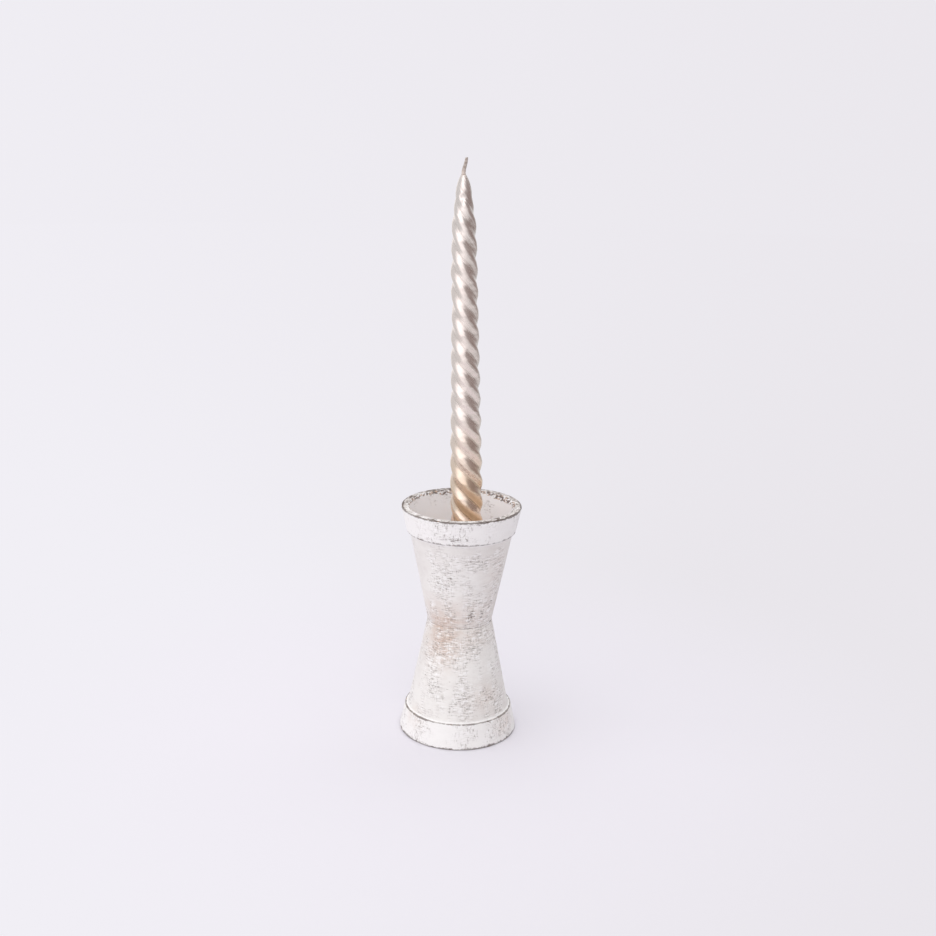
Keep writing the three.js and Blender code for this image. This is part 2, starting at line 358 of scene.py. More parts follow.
# Each pattern's waves a metre. A high last number lays its marks along the wall.
DRIFT_WAVES = (24, 24, 24)
HAZE_WAVES = (150, 150, 260)
SPECKLE_WAVES = (1100, 1100, 1100)
STROKE_WAVES = (230, 230, 1450)
UPRIGHT_WAVES = (1000, 1000, 190)
PATCH_WAVES = (90, 90, 60)
DASH_WAVES = (280, 280, 1400)
BIT_WAVES = (900, 900, 1000)
RAGGED_WAVES = (420, 420, 420)
WEAR_WAVES = (55, 55, 55)
CRUMB_WAVES = (500, 500, 720)
STRETCH_WAVES = (60, 60, 60)
REACH_WAVES = (75, 75, 75)
CLAY_WAVES = (330, 330, 330)
BARE_WAVES = (50, 50, 160)
SWAY_WAVES = 70.0
SWAY = (0.0, 0.0, 0.0025)
PAINT_THICKNESS = 0.00022


def chalk_paint(name, inside_clay):
    """Chalk paint rubbed back to clay, on the inside too unless inside_clay leaves that bare.

    From the bottom up: a white coat with greyer clouds, brighter on the band and warm where it is thin,
    and whiter on the inner wall, as painted light against the shade inside the pot. Then painted
    highlights on the ridges and painted shade in the hollows of the brush, which lie along the walls and
    stand upright on the bands, and dark dashes and bits that thicken with the rubbed field. Last a painted
    highlight on the step beside the band, ragged brown lines along the edges, which are bared clay and in
    places painted shade, crumbs of clay at the mouth, and chips. Each is a noise or a field sent through
    a smooth step, which mixes one colour over what lies below.
    """
    material, paint = new_material(name)
    place = paint.node("ShaderNodeTexCoord", {}, {}, "Object")
    rubbed = attribute(paint, "rubbed")
    edge = attribute(paint, "edge")
    mouth = attribute(paint, "mouth")
    chip = attribute(paint, "chip")
    inside = attribute(paint, "inside")
    band = attribute(paint, "band")

    drift = cloud(place, DRIFT_WAVES, 2)
    haze = cloud(place, HAZE_WAVES, 3)
    speckle = cloud(place, SPECKLE_WAVES, 2)
    grey = 0.45 * drift.ramp(0.38, 0.68) + 0.20 * haze.ramp(0.42, 0.66)
    thin = attribute(paint, "warm") * (0.55 + 0.45 * haze.ramp(0.36, 0.60))
    colour = grey.mix(PAINT_WHITE, PAINT_GREY)
    colour = (0.55 * band).mix(colour, PAINT_BRIGHT_AND_HIGHLIGHT)
    colour = (0.90 * attribute(paint, "rim")).mix(colour, PAINT_GREY)
    colour = thin.mix(colour, THIN_PAINT)
    # Painted light: the inner wall is made whiter than the outer paint, to lift the shade inside the pot.
    colour = (0.95 * inside).mix(colour, INSIDE_PAINTED_LIGHT)

    wavering = {"Vector": place, "Scale": SWAY_WAVES, "Detail": 2.0}
    sway = {0: place.node("ShaderNodeTexNoise", {}, wavering, "Color"), 1: SWAY, 2: place}
    swayed = place.node("ShaderNodeVectorMath", {"operation": "MULTIPLY_ADD"}, sway)
    stroke = cloud(swayed, STROKE_WAVES, 1) - 0.5
    upright = cloud(swayed, UPRIGHT_WAVES, 1) - 0.5
    patch = (cloud(place, PATCH_WAVES, 2) + 0.40 * (rubbed - RUB_LEVEL) - 0.18 * inside).ramp(0.37, 0.62)
    broken = patch * (0.5 + 0.9 * speckle.ramp(0.40, 0.70))
    stroke_share = 1.0 - 0.5 * band
    upright_share = 0.6 + 0.5 * band
    # Painted highlights on the ridges of the brush strokes and painted shade in their hollows.
    crest_highlights = stroke_share * stroke.ramp(0.03, 0.15) + upright_share * upright.ramp(0.06, 0.18)
    furrow_shade = stroke_share * stroke.ramp(-0.03, -0.15) + upright_share * upright.ramp(-0.06, -0.18)
    furrow_shade = broken * furrow_shade
    colour = (0.65 * patch * crest_highlights).mix(colour, PAINT_BRIGHT_AND_HIGHLIGHT)
    colour = (0.48 * furrow_shade).mix(colour, FURROW_SHADE_GREY)
    level = 0.79 - 0.24 * rubbed + 0.07 * inside
    dashes = (cloud(swayed, DASH_WAVES, 1) - level).ramp(0.0, 0.10)
    bits = (cloud(swayed, BIT_WAVES, 1) - level).ramp(0.0, 0.10)
    marks = dashes + (0.7 - 0.4 * band) * bits
    colour = (0.65 * marks).mix(colour, DASH_BROWN)

    # Painted highlight: a bright line on the step beside the band, where it catches the light.
    colour = (0.9 * attribute(paint, "ledge_highlight")).mix(colour, PAINT_BRIGHT_AND_HIGHLIGHT)
    ragged = cloud(place, RAGGED_WAVES, 3) - 0.5
    width = 0.32 + 0.95 * cloud(place, WEAR_WAVES, 2).ramp(0.34, 0.70) * rubbed
    # Edge lines: bared clay, and where drawn wide, under the upper band and at the table, painted shade too.
    edge_wear_and_shade = (edge + 1.9 * ragged - width).ramp(0.30, -0.25)
    colour = (edge_wear_and_shade * (0.60 + 0.25 * rubbed)).mix(colour, EDGE_WEAR_AND_SHADE_BROWN)
    crumbs = cloud(place, CRUMB_WAVES, 2) + 0.15 * cloud(place, STRETCH_WAVES, 2)
    reach = 1.6 + 1.8 * cloud(place, REACH_WAVES, 1).ramp(0.42, 0.60)
    mouth_worn = (mouth + 2.0 * ragged - reach).ramp(0.5, -0.5) * crumbs.ramp(0.53, 0.60)
    bared = paint.math("MAXIMUM", mouth_worn, chip.ramp(0.25, 0.6))
    clay = cloud(place, CLAY_WAVES, 1).ramp(0.47, 0.62).mix(CHIP_DARK, CHIP_TAN)
    colour = (0.85 * bared).mix(colour, clay)

    if inside_clay:
        bare = (inside + 0.8 * (cloud(place, BARE_WAVES, 3) - 0.5)).ramp(0.45, 0.65)
        baked = (0.7 * drift + 0.3 * speckle).ramp(0.35, 0.65).mix(BARE_CLAY, DARK_CLAY)
        colour = bare.mix(colour, baked)

    raised = 0.8 * stroke + 0.6 * upright + 0.25 * speckle
    sunk = 0.35 * furrow_shade + 0.6 * marks + 0.5 * edge_wear_and_shade
    finish_material(paint, {
        "Base Color": colour,
        "Roughness": 0.80 - 0.20 * edge_wear_and_shade + 0.10 * (speckle - 0.5),
        "Normal": bumped(paint, 0.7, PAINT_THICKNESS, raised - sunk),
        "Specular IOR Level": 0.3,
    })
    return material


def new_piece(mesh, material):
    """Object at the origin that shows a mesh in one material."""
    mesh.materials.append(material)
    piece = bpy.data.objects.new(mesh.name, mesh)
    bpy.context.scene.collection.objects.link(piece)
    return piece


# Marks on the paint, as spots takes them, with heights above the table.
LOWER_RUBBED = [
    (-35, 0.074, 22, 0.012, 0.45),
    (22, 0.072, 20, 0.010, 0.40),
    (-42, 0.041, 14, 0.008, 0.50),
    (4, 0.036, 16, 0.010, 0.40),
    (44, 0.032, 16, 0.008, 0.45),
    (-40, 0.0135, 14, 0.004, 0.45),
    (48, 0.012, 19, 0.006, 0.55),
    (-2, 0.009, 22, 0.006, -0.25),
]
LOWER_WARM = [
    (-28, 0.072, 27, 0.015, 0.66),
    (-5, 0.081, 80, 0.012, 0.32),
    (-55, 0.016, 14, 0.007, 0.30),
    (58, 0.012, 16, 0.008, 0.35),
    (38, 0.034, 22, 0.010, 0.30),
]
# The line along the mouth that stands on the table is drawn wide: bared clay and painted contact shadow.
LOWER_WEAR_AND_SHADE = (0.0010, 0.0021)
lower_mesh = pot_mesh(
    "painted_base_pot", LOWER_SEED, True, POT_HEIGHT, LOWER_WEAR_AND_SHADE, LOWER_RUBBED, LOWER_WARM
)
lower_pot = new_piece(lower_mesh, chalk_paint("rubbed_chalk_paint_base", True))
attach(lower_pot, "holder")
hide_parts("lower_pot")

# Bead of adhesive
# The glue that joins the two feet, squeezed out into the crease between them and smoothed with a finger.
# It is painted over with the pots, and its hollow is drawn darker, in a fine dark line and with more marks.
BEAD_INNER = 0.0064
BEAD_SKIN = 0.00002
CREASE_RADIUS = 0.0232
CREASE_REACH = 0.0012
CREASE_LIP = 0.02341
CREASE_ROUND = 0.0006
BEAD_EDGES = (2, 3, 4)
BEAD_ROWS = 90
BEAD_COLUMNS = 360
BEAD_SEED = 31
HOLLOW_WIDTH = 0.0008
HOLLOW_RELIEF, HOLLOW_WAVES = 0.00012, (12, 14)
BEAD_RUB, HOLLOW_DARKENING = 0.35, 0.35
CREASE_LINE_WIDTH, CREASE_LINE_LEVEL = 0.0003, 0.2
FAR_FROM_EDGE = 99.0

bond_low, bond_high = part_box("bond_ring")
lower_foot = POT_HEIGHT
upper_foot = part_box("upper_pot")[0].z
waist = (lower_foot + upper_foot) / 2
BEAD_WARM = [(-30, waist, 26, 0.01, 0.8), (10, waist, 70, 0.01, 0.3)]
bead_corners = [
    (BEAD_INNER, bond_low.z, 0),
    (FOOT_RADIUS, lower_foot + BEAD_SKIN, FOOT_EDGE),
    (CREASE_LIP, lower_foot - CREASE_REACH, 0),
    (CREASE_RADIUS, waist, CREASE_ROUND),
    (CREASE_LIP, upper_foot + CREASE_REACH, 0),
    (FOOT_RADIUS, upper_foot - BEAD_SKIN, FOOT_EDGE),
    (BEAD_INNER, bond_high.z, 0),
]
bead_points, _, bead_gaps = spaced_outline(bead_corners, BEAD_EDGES, BEAD_ROWS)
bead_shape = (BEAD_ROWS, BEAD_COLUMNS)
bead_turn = np.arange(BEAD_COLUMNS) / BEAD_COLUMNS * 2 * np.pi
from_crease = bead_gaps[1][:, None]
hollow = np.exp(-((from_crease / HOLLOW_WIDTH) ** 2))
bead_radius = bead_points[:, :1] + HOLLOW_RELIEF * hollow * mottle(BEAD_SEED, bead_shape, HOLLOW_WAVES)
bead_height = np.broadcast_to(bead_points[:, 1:], bead_shape)
bead_grid = np.stack([bead_radius * np.cos(bead_turn), bead_radius * np.sin(bead_turn), bead_height], -1)
bead_azimuth = np.degrees(np.arctan2(bead_grid[..., 0], -bead_grid[..., 1]))
bead_mesh = grid_mesh("painted_glue_bead", bead_grid, "joined", {
    "rubbed": BEAD_RUB + HOLLOW_DARKENING * hollow,
    "warm": spots(bead_azimuth, bead_height, BEAD_WARM),
    "edge": CREASE_LINE_LEVEL + from_crease / CREASE_LINE_WIDTH,
    "mouth": FAR_FROM_EDGE,
})
glue_bead = new_piece(bead_mesh, chalk_paint("painted_glue", False))
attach(glue_bead, "holder")
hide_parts("bond_ring")

# Centre dowel
# A short beech peg through both drain holes, which lines the pots up while the glue sets. It is sawn from
# rod and its ends are chamfered, so end grain shows inside the base.
DOWEL_CHAMFER = 0.0008
DOWEL_CORE = 0.0004
DOWEL_COLUMNS = 96
DOWEL_END_ROWS, DOWEL_SIDE_ROWS = 16, 40
DOWEL_SEED = 41
SAW_RELIEF, SAW_WAVES = 0.00004, (9, 10)

dowel_low, dowel_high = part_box("centre_dowel")
dowel_radius = dowel_high.x
end_radii = np.linspace(DOWEL_CORE, dowel_radius - DOWEL_CHAMFER, DOWEL_END_ROWS)
side_radii = np.full(DOWEL_SIDE_ROWS, dowel_radius)
side_heights = np.linspace(dowel_low.z + DOWEL_CHAMFER, dowel_high.z - DOWEL_CHAMFER, DOWEL_SIDE_ROWS)
low_heights = np.full(DOWEL_END_ROWS, dowel_low.z)
high_heights = np.full(DOWEL_END_ROWS, dowel_high.z)
dowel_radii = np.concatenate([end_radii, side_radii, end_radii[::-1]])[:, None]
dowel_heights = np.concatenate([low_heights, side_heights, high_heights])[:, None]
dowel_shape = (len(dowel_radii), DOWEL_COLUMNS)
on_end = dowel_radii < dowel_radius - DOWEL_CHAMFER / 2
sawn = SAW_RELIEF * np.abs(mottle(DOWEL_SEED, dowel_shape, SAW_WAVES)) * on_end
dowel_turn = np.arange(DOWEL_COLUMNS) / DOWEL_COLUMNS * 2 * np.pi
dowel_grid = np.stack([
    dowel_radii * np.cos(dowel_turn),
    dowel_radii * np.sin(dowel_turn),
    dowel_heights + sawn * np.where(dowel_heights < waist, 1, -1),
], -1)
dowel_mesh = grid_mesh("beech_peg", dowel_grid, "capped", {})

BEECH_PALE = srgb(214, 182, 142)
BEECH_RING = srgb(176, 136, 98)
BEECH_FLECK = srgb(132, 92, 62)
PITH = (0.016, 0.009, 0.0)
RING_TURNS, RING_WANDER = 5200, 3.0
RING_WAVES = (180, 180, 40)
FLECK_WAVES = (1400, 1400, 240)
GRAIN_DEPTH = 0.0001


def beech_wood(name):
    """Beech: growth rings about a pith outside the peg, and short dark flecks along the grain.

    The rings are the sine of the distance from the pith, which a noise makes wander a little.
    """
    material, wood = new_material(name)
    place = wood.node("ShaderNodeTexCoord", {}, {}, "Object")
    bowed = wood.node("ShaderNodeMapping", {"vector_type": "TEXTURE"}, {"Vector": place, "Location": PITH})
    bowed = wood.node("ShaderNodeVectorMath", {"operation": "MULTIPLY"}, {0: bowed, 1: (1.0, 1.0, 0.0)})
    from_pith = wood.node("ShaderNodeVectorMath", {"operation": "LENGTH"}, {0: bowed}, "Value")
    wavy = RING_TURNS * from_pith + RING_WANDER * cloud(place, RING_WAVES, 2)
    ring = wood.math("SINE", wavy).ramp(-0.6, 1.0)
    fleck = cloud(place, FLECK_WAVES, 2).ramp(0.60, 0.68)
    colour = (0.75 * ring).mix(BEECH_PALE, BEECH_RING)
    colour = (0.7 * fleck).mix(colour, BEECH_FLECK)
    finish_material(wood, {
        "Base Color": colour,
        "Roughness": 0.62 + 0.12 * ring,
        "Normal": bumped(wood, 0.4, GRAIN_DEPTH, ring - fleck),
    })
    return material


dowel = new_piece(dowel_mesh, beech_wood("sawn_beech"))
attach(dowel, "holder")
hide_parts("centre_dowel")

# Upper pot
# The same pot again, mouth up, as the cup that holds the candle. Its mouth is the most handled edge, so the
# rim is worn through to clay and chipped along the inside.
UPPER_SEED = 21
UPPER_RUBBED = [
    (25, 0.136, 12, 0.006, 0.60),
    (-27, 0.124, 15, 0.018, 0.40),
    (20, 0.0945, 9, 0.005, 0.90),
    (38, 0.0950, 4, 0.005, 0.70),
    (-6, 0.1568, 20, 0.0018, 0.70),
    (-88, 0.171, 24, 0.003, 0.25),
    (-22, 0.170, 14, 0.003, 0.60),
    (-44, 0.159, 13, 0.009, -0.22),
    (34, 0.157, 15, 0.010, -0.25),
    (60, 0.120, 16, 0.014, 0.25),
    (38, 0.170, 34, 0.003, 0.80),
    (150, 0.158, 16, 0.007, 0.55),
    (-165, 0.165, 22, 0.004, 0.45),
    (180, 0.171, 75, 0.003, 1.00),
    (-62, 0.130, 18, 0.030, -0.50),
    (66, 0.148, 14, 0.022, -0.40),
    (0, 0.1475, 70, 0.0028, -0.40),
]
UPPER_WARM = [
    (-28, 0.089, 27, 0.008, 0.55),
    (-10, 0.094, 80, 0.014, 0.36),
    (55, 0.130, 22, 0.020, 0.22),
]
# The line under the band is drawn wide: bared clay and painted shade on the band's underside.
UPPER_WEAR_AND_SHADE = (0.0022, 0.0011)
upper_mesh = pot_mesh(
    "painted_cup_pot", UPPER_SEED, False, upper_foot, UPPER_WEAR_AND_SHADE, UPPER_RUBBED, UPPER_WARM
)
upper_pot = new_piece(upper_mesh, chalk_paint("rubbed_chalk_paint_cup", False))
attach(upper_pot, "holder")
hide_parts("upper_pot")

# Wax seat
# Candle wax melted into the bottom of the cup to hold the candle's foot. It set with a raised skin at the
# wall, faint cooling rings on top, and the print of the foot where the candle lifts out.
SEAT_COLUMNS = 256
SEAT_CLEARANCE = 0.0001
SEAT_CORE = 0.0020
SEAT_MENISCUS, MENISCUS_REACH = 0.0012, 0.0009
PRINT_CLEARANCE = 0.0003
FOOT_SLICE = 0.0001
WALL_ROWS, FILLET_ROWS, TOP_ROWS, PRINT_ROWS = 24, 8, 72, 20
LIP_WIDTH, LIP_RISE, LIP_REACH = 0.0006, 0.0006, 0.0012
PRINT_LIP = np.array([(0.0003, 0.0006), (0.0001, 0.0004)])
RING_RELIEF, RING_PITCH, RING_REACH = 0.00006, 0.0021, 0.008
SKIN_SHARE, SKIN_WAVES = 0.8, (5, 6)
SEAT_SEED = 51


def cad_points(node):
    """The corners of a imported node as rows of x, y and z."""
    vertices = frame["nodes"][node].data.vertices
    flat = np.empty(3 * len(vertices), np.float32)
    vertices.foreach_get("co", flat)
    return flat.reshape(-1, 3).astype(float)


def inside_radius(height):
    """Radius of the upper pot's straight inner wall at a height above the table."""
    return floor_radius + inside_slope * (height - upper_foot - FLOOR_THICKNESS)


lift_axis = np.array(frame["joints"][0]["axis"])
candle_corners = cad_points("candle_body")
along_axis = candle_corners @ lift_axis
foot_corners = candle_corners[along_axis < along_axis.min() + FOOT_SLICE]
candle_foot = foot_corners.mean(0)
print_radius = np.hypot(*(foot_corners - candle_foot)[:, :2].T).max() + PRINT_CLEARANCE

seat_low, seat_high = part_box("wax_seat")
seat_top = seat_high.z - SEAT_MENISCUS
seat_turn = np.arange(SEAT_COLUMNS) / SEAT_COLUMNS * 2 * np.pi
seat_round = np.stack([np.cos(seat_turn), np.sin(seat_turn)], -1)


def seat_rings(radius, height):
    """Rings about the pot's axis, at each radius and height."""
    flat = np.broadcast_to(height[:, None, None], (len(height), SEAT_COLUMNS, 1))
    return np.concatenate([radius[:, None, None] * seat_round, flat], -1)


def print_rings(radius, height):
    """Level rings about the candle's own leaning axis, at each radius and height."""
    slant = lift_axis[:2] / lift_axis[2]
    centre = candle_foot[:2] + (height[:, None] - candle_foot[2]) * slant
    rings = seat_rings(radius, height)
    rings[..., :2] += centre[:, None]
    return rings


wall_heights = np.linspace(seat_low.z + FLOOR_FILLET, seat_high.z, WALL_ROWS)
fillet = np.linspace(0, 1, FILLET_ROWS)[:-1]
fillet_radius = inside_radius(seat_low.z) - FLOOR_FILLET * (1 - fillet) ** 2
floor_rings = seat_rings(
    np.concatenate([[SEAT_CORE], fillet_radius, inside_radius(wall_heights)]) - SEAT_CLEARANCE,
    np.concatenate([[seat_low.z], seat_low.z + FLOOR_FILLET * fillet**2, wall_heights]),
)
outer_ring = floor_rings[-1]
inner_ring = print_rings(np.array([print_radius + LIP_WIDTH]), np.array([seat_top]))[0]
inward = np.linspace(0, 1, TOP_ROWS)[1:, None, None]
top_rings = (1 - inward) * outer_ring + inward * inner_ring
from_wall = np.hypot(*(top_rings - outer_ring)[..., :2].transpose(2, 0, 1))
from_foot = np.hypot(*(top_rings - inner_ring)[..., :2].transpose(2, 0, 1))
cooling = np.sin(from_wall / RING_PITCH * 2 * np.pi) * np.exp(-from_wall / RING_REACH)
top_rings[..., 2] = (
    seat_top
    + SEAT_MENISCUS * np.exp(-from_wall / MENISCUS_REACH)
    + LIP_RISE * np.exp(-from_foot / LIP_REACH)
    + RING_RELIEF * (cooling + SKIN_SHARE * mottle(SEAT_SEED, from_wall.shape, SKIN_WAVES))
)
print_heights = np.linspace(seat_top, candle_foot[2] - PRINT_CLEARANCE, PRINT_ROWS)
hole_rings = print_rings(
    np.concatenate([print_radius + PRINT_LIP[:, 0], np.full(PRINT_ROWS, print_radius), [SEAT_CORE]]),
    np.concatenate([seat_top + PRINT_LIP[:, 1], print_heights, print_heights[-1:]]),
)
seat_mesh = grid_mesh("poured_wax", np.concatenate([floor_rings, top_rings, hole_rings]), "capped", {})

WAX_IVORY = srgb(242, 231, 217)
WAX_CLOUD = srgb(231, 216, 198)
WAX_DUST = srgb(150, 132, 112)
WAX_WAVES = (110, 110, 110)
DUST_WAVES = (900, 900, 900)
WAX_RELIEF = 0.0002


def set_wax(name):
    """Bare wax: ivory with cloudier patches, a few specks of dust, and a soft skin that light enters."""
    material, wax = new_material(name)
    place = wax.node("ShaderNodeTexCoord", {}, {}, "Object")
    cloudy = cloud(place, WAX_WAVES, 3)
    dust = cloud(place, DUST_WAVES, 1).ramp(0.70, 0.76)
    colour = cloudy.ramp(0.35, 0.65).mix(WAX_IVORY, WAX_CLOUD)
    colour = (0.7 * dust).mix(colour, WAX_DUST)
    finish_material(wax, {
        "Base Color": colour,
        "Roughness": 0.38 + 0.2 * cloudy,
        "Normal": bumped(wax, 0.3, WAX_RELIEF, cloudy),
        "Subsurface Weight": 0.25,
        "Subsurface Radius": (0.004, 0.003, 0.002),
        "Subsurface Scale": 0.5,
    })
    return material


wax_seat = new_piece(seat_mesh, set_wax("set_candle_wax"))
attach(wax_seat, "holder")
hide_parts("wax_seat")

# Twisted candle
# A wax taper with four lobes, twisted left-handed while warm and dipped in champagne gold lacquer. It
# narrows to a rounded nose, and its plain shank stands in the wax seat, leaning a little.
CANDLE_LENGTH = 0.3015
RIDGE_RADIUS = 0.0114
GROOVE_DEPTH = 0.0017
LOBES = 4
TWIST_LEAD = 0.05945
TWIST_START = 8.5
TAPER_START = 0.090
SHOULDER_DROP = 0.042
SHOULDER_RADIUS = 0.0086
SHOULDER_NARROWING, SHOULDER_HOLD = 0.94, 0.78
NOSE_DROP = 0.0125
NOSE_RADIUS = 0.0053
NOSE_HOLD = 0.82
TIP_RADIUS = 0.0020
TIP_HOLD = 0.5
GROOVE_FADE = 0.009
SHANK_RADIUS = 0.0112
SHANK_LENGTH = 0.025
SHANK_BLEND = 0.020
FOOT_ROUND, FOOT_STEPS = 0.0008, 7
BORE_RADIUS = 0.0017
CANDLE_STEP = 0.0004
SHOULDER_POINTS, NOSE_POINTS = 60, 40
LOBE_COLUMNS = 28
DENT_SEED, DENT_RELIEF, DENT_WAVES = 61, 0.00006, (70, 5)
LACQUER_SEED, LACQUER_RELIEF, LACQUER_WAVES = 62, 0.000012, (40, 20)
EVEN_FOOT = 0.004
QUARTER_TURN = 90
# Lumps and dents, as spots takes them, with heights above the foot and strengths in metres.
CANDLE_LUMPS = [
    (-90, 0.2365, 28, 0.005, 0.00060),
    (-90, 0.2125, 28, 0.006, -0.00060),
    (-12, 0.2870, 16, 0.0022, -0.00050),
    (-6, 0.2905, 20, 0.0016, 0.00025),
    (10, 0.2830, 24, 0.0018, 0.00035),
    (-20, 0.2790, 18, 0.0016, 0.00025),
    (8, 0.1600, 16, 0.0030, 0.00030),
    (5, 0.1860, 14, 0.0025, 0.00030),
]


def bezier(controls, count):
    """Points along the Bézier curve of some control points, by repeated blending of neighbours."""
    t = np.linspace(0, 1, count)[:, None]
    levels = [np.array(c, float) + 0 * t for c in controls]
    while len(levels) > 1:
        levels = [(1 - t) * a + t * b for a, b in zip(levels, levels[1:])]
    return levels[0]


shoulder = CANDLE_LENGTH - SHOULDER_DROP
nose = CANDLE_LENGTH - NOSE_DROP
shank_end = SHANK_LENGTH + SHANK_BLEND
draw_in = nose - shoulder
shoulder_curve = bezier([
    (SHOULDER_RADIUS, shoulder),
    (SHOULDER_RADIUS * SHOULDER_NARROWING, shoulder + SHOULDER_HOLD * draw_in),
    (NOSE_RADIUS, shoulder + NOSE_HOLD * draw_in),
    (NOSE_RADIUS, nose),
], SHOULDER_POINTS)
nose_curve = bezier([
    (NOSE_RADIUS, nose),
    (NOSE_RADIUS, nose + TIP_HOLD * NOSE_DROP),
    (TIP_RADIUS, CANDLE_LENGTH),
], NOSE_POINTS)
ridge_outline = np.vstack([
    [(SHANK_RADIUS, 0), (SHANK_RADIUS, SHANK_LENGTH)],
    [(RIDGE_RADIUS, shank_end), (RIDGE_RADIUS, TAPER_START)],
    shoulder_curve,
    nose_curve[1:],
])


def lobed_radius(angle, ridge, groove):
    """Radius at an angle from a ridge: a cosine wave between the ridge and groove radii."""
    return (ridge + groove) / 2 + (ridge - groove) / 2 * np.cos(LOBES * angle)


foot_rise = FOOT_ROUND * (1 - np.cos(np.linspace(0, np.pi / 2, FOOT_STEPS)[:-1]))
body_rise = np.arange(FOOT_ROUND, CANDLE_LENGTH, CANDLE_STEP)
candle_rise = np.concatenate([foot_rise, body_rise, [CANDLE_LENGTH]])[:, None]
foot_dip = np.clip(1 - candle_rise / FOOT_ROUND, 0, 1)
at_ridge = np.interp(candle_rise, ridge_outline[:, 1], ridge_outline[:, 0])
at_ridge = at_ridge - FOOT_ROUND * (1 - np.sqrt(1 - foot_dip**2))
fade_in = smooth_step(SHANK_LENGTH, shank_end, candle_rise)
fade_out = 1 - smooth_step(nose - GROOVE_FADE, nose, candle_rise)
at_groove = at_ridge * (1 - GROOVE_DEPTH / RIDGE_RADIUS * fade_in * fade_out)
in_lobe = np.linspace(-1, 1, LOBE_COLUMNS, endpoint=False) * np.pi / LOBES
lobe_turn = np.arange(LOBES)[:, None] * 2 * np.pi / LOBES
from_ridge = np.tile(in_lobe, LOBES)
column_turn = (lobe_turn + in_lobe).ravel()
candle_shape = (len(candle_rise), len(column_turn))
twist = math.radians(TWIST_START) - 2 * np.pi * candle_rise / TWIST_LEAD
dents = DENT_RELIEF * mottle(DENT_SEED, candle_shape, DENT_WAVES)
dents += LACQUER_RELIEF * mottle(LACQUER_SEED, candle_shape, LACQUER_WAVES)
dents += spots(np.degrees(twist + column_turn) + QUARTER_TURN, candle_rise, CANDLE_LUMPS)
skin = lobed_radius(from_ridge, at_ridge, at_groove) + dents * smooth_step(0.0, EVEN_FOOT, candle_rise)
across = np.array([lift_axis[2], 0, -lift_axis[0]])


def on_candle(radius, angle, height):
    """Points at a radius and angle about the candle's leaning axis, at a height along it above its foot."""
    out = radius[..., None] * (np.cos(angle)[..., None] * across + np.sin(angle)[..., None] * (0, 1, 0))
    return candle_foot + height[..., None] * lift_axis + out


bore_radius = np.full((1, len(column_turn)), BORE_RADIUS)
outside = on_candle(skin, twist + column_turn, candle_rise)
bore_foot, bore_tip = (on_candle(bore_radius, twist[[i]] + column_turn, candle_rise[[i]]) for i in (0, -1))
candle_grid = np.concatenate([bore_foot, outside, bore_tip])
candle_rows = np.concatenate([[0], candle_rise[:, 0], [CANDLE_LENGTH]])[:, None]
candle_mesh = grid_mesh("twisted_candle", candle_grid, "joined", {
    "lobe": from_ridge * LOBES / np.pi,
    "rise": MILLIMETRES * candle_rows,
})

GOLD_SILVERY = srgb(236, 223, 218)
GOLD_TIP = srgb(234, 223, 219)
GOLD_WARM = srgb(235, 201, 164)
GOLD_GROOVE_AND_SHADE = srgb(122, 92, 66)
GOLD_WAVES = (90, 90, 60)
FLOW_ACROSS, FLOW_ALONG = 4.6, 0.05
FLOW_DEPTH = 0.0002
# Millimetres above the foot over which each change of the gold comes in.
LOBES_RISE = (28, 46)
SILVERY_RISE = (40, 150)
FLANK_LIGHT_RISE = (104, 62)
DARK_GROOVE_RISE = (120, 70)
TIP_RISE = (225, 290)
DRIFT_SHIFT, FLANK_LIGHT_SHIFT = 40, 36


def gold_lacquer(name):
    """Champagne gold lacquer over wax, with fine flow marks along the lobes.

    It goes from warm at the foot to silvery, and cooler still at the tip. Low down, the upper side of each
    lobe is paler, a painted highlight, and its lower side deeper, a painted shade, by a sine across the
    lobe. The gold is darker in the grooves, most of all low down.
    """
    material, gold = new_material(name)
    place = gold.node("ShaderNodeTexCoord", {}, {}, "Object")
    rise = attribute(gold, "rise")
    lobe = attribute(gold, "lobe")
    flow_place = gold.node("ShaderNodeCombineXYZ", {}, {0: FLOW_ACROSS * lobe, 1: FLOW_ALONG * rise})
    flow = gold.node("ShaderNodeTexNoise", {}, {"Vector": flow_place, "Scale": 1.0, "Detail": 1.0})
    drift = cloud(place, GOLD_WAVES, 2)
    twisted = rise.ramp(*LOBES_RISE)
    # Painted highlight on the upper side of each lobe and painted shade on its lower side, low down.
    flank_highlight_and_shade = gold.math("SINE", math.pi * lobe) * twisted * rise.ramp(*FLANK_LIGHT_RISE)
    # The grooves are darker and rougher, most of all low down.
    dark_grooves = gold.math("ABSOLUTE", lobe).ramp(0.80, 1.0) * twisted
    shifted = rise + DRIFT_SHIFT * (drift - 0.5) + FLANK_LIGHT_SHIFT * flank_highlight_and_shade
    colour = shifted.ramp(*SILVERY_RISE).mix(GOLD_WARM, GOLD_SILVERY)
    colour = rise.ramp(*TIP_RISE).mix(colour, GOLD_TIP)
    # Painted shade on the lower side of each lobe.
    colour = (0.27 * flank_highlight_and_shade.ramp(-0.15, -0.9)).mix(colour, GOLD_GROOVE_AND_SHADE)
    colour = (dark_grooves * (0.15 + 0.65 * rise.ramp(*DARK_GROOVE_RISE))).mix(colour, GOLD_GROOVE_AND_SHADE)
    finish_material(gold, {
        "Base Color": colour,
        "Metallic": 0.92,
        "Roughness": 0.21 + 0.12 * (flow - 0.5) + 0.10 * dark_grooves,
        "Normal": bumped(gold, 0.8, FLOW_DEPTH, flow),
    })
    return material


candle = new_piece(candle_mesh, gold_lacquer("champagne_gold_lacquer"))
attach(candle, "candle")
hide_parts("candle_body")

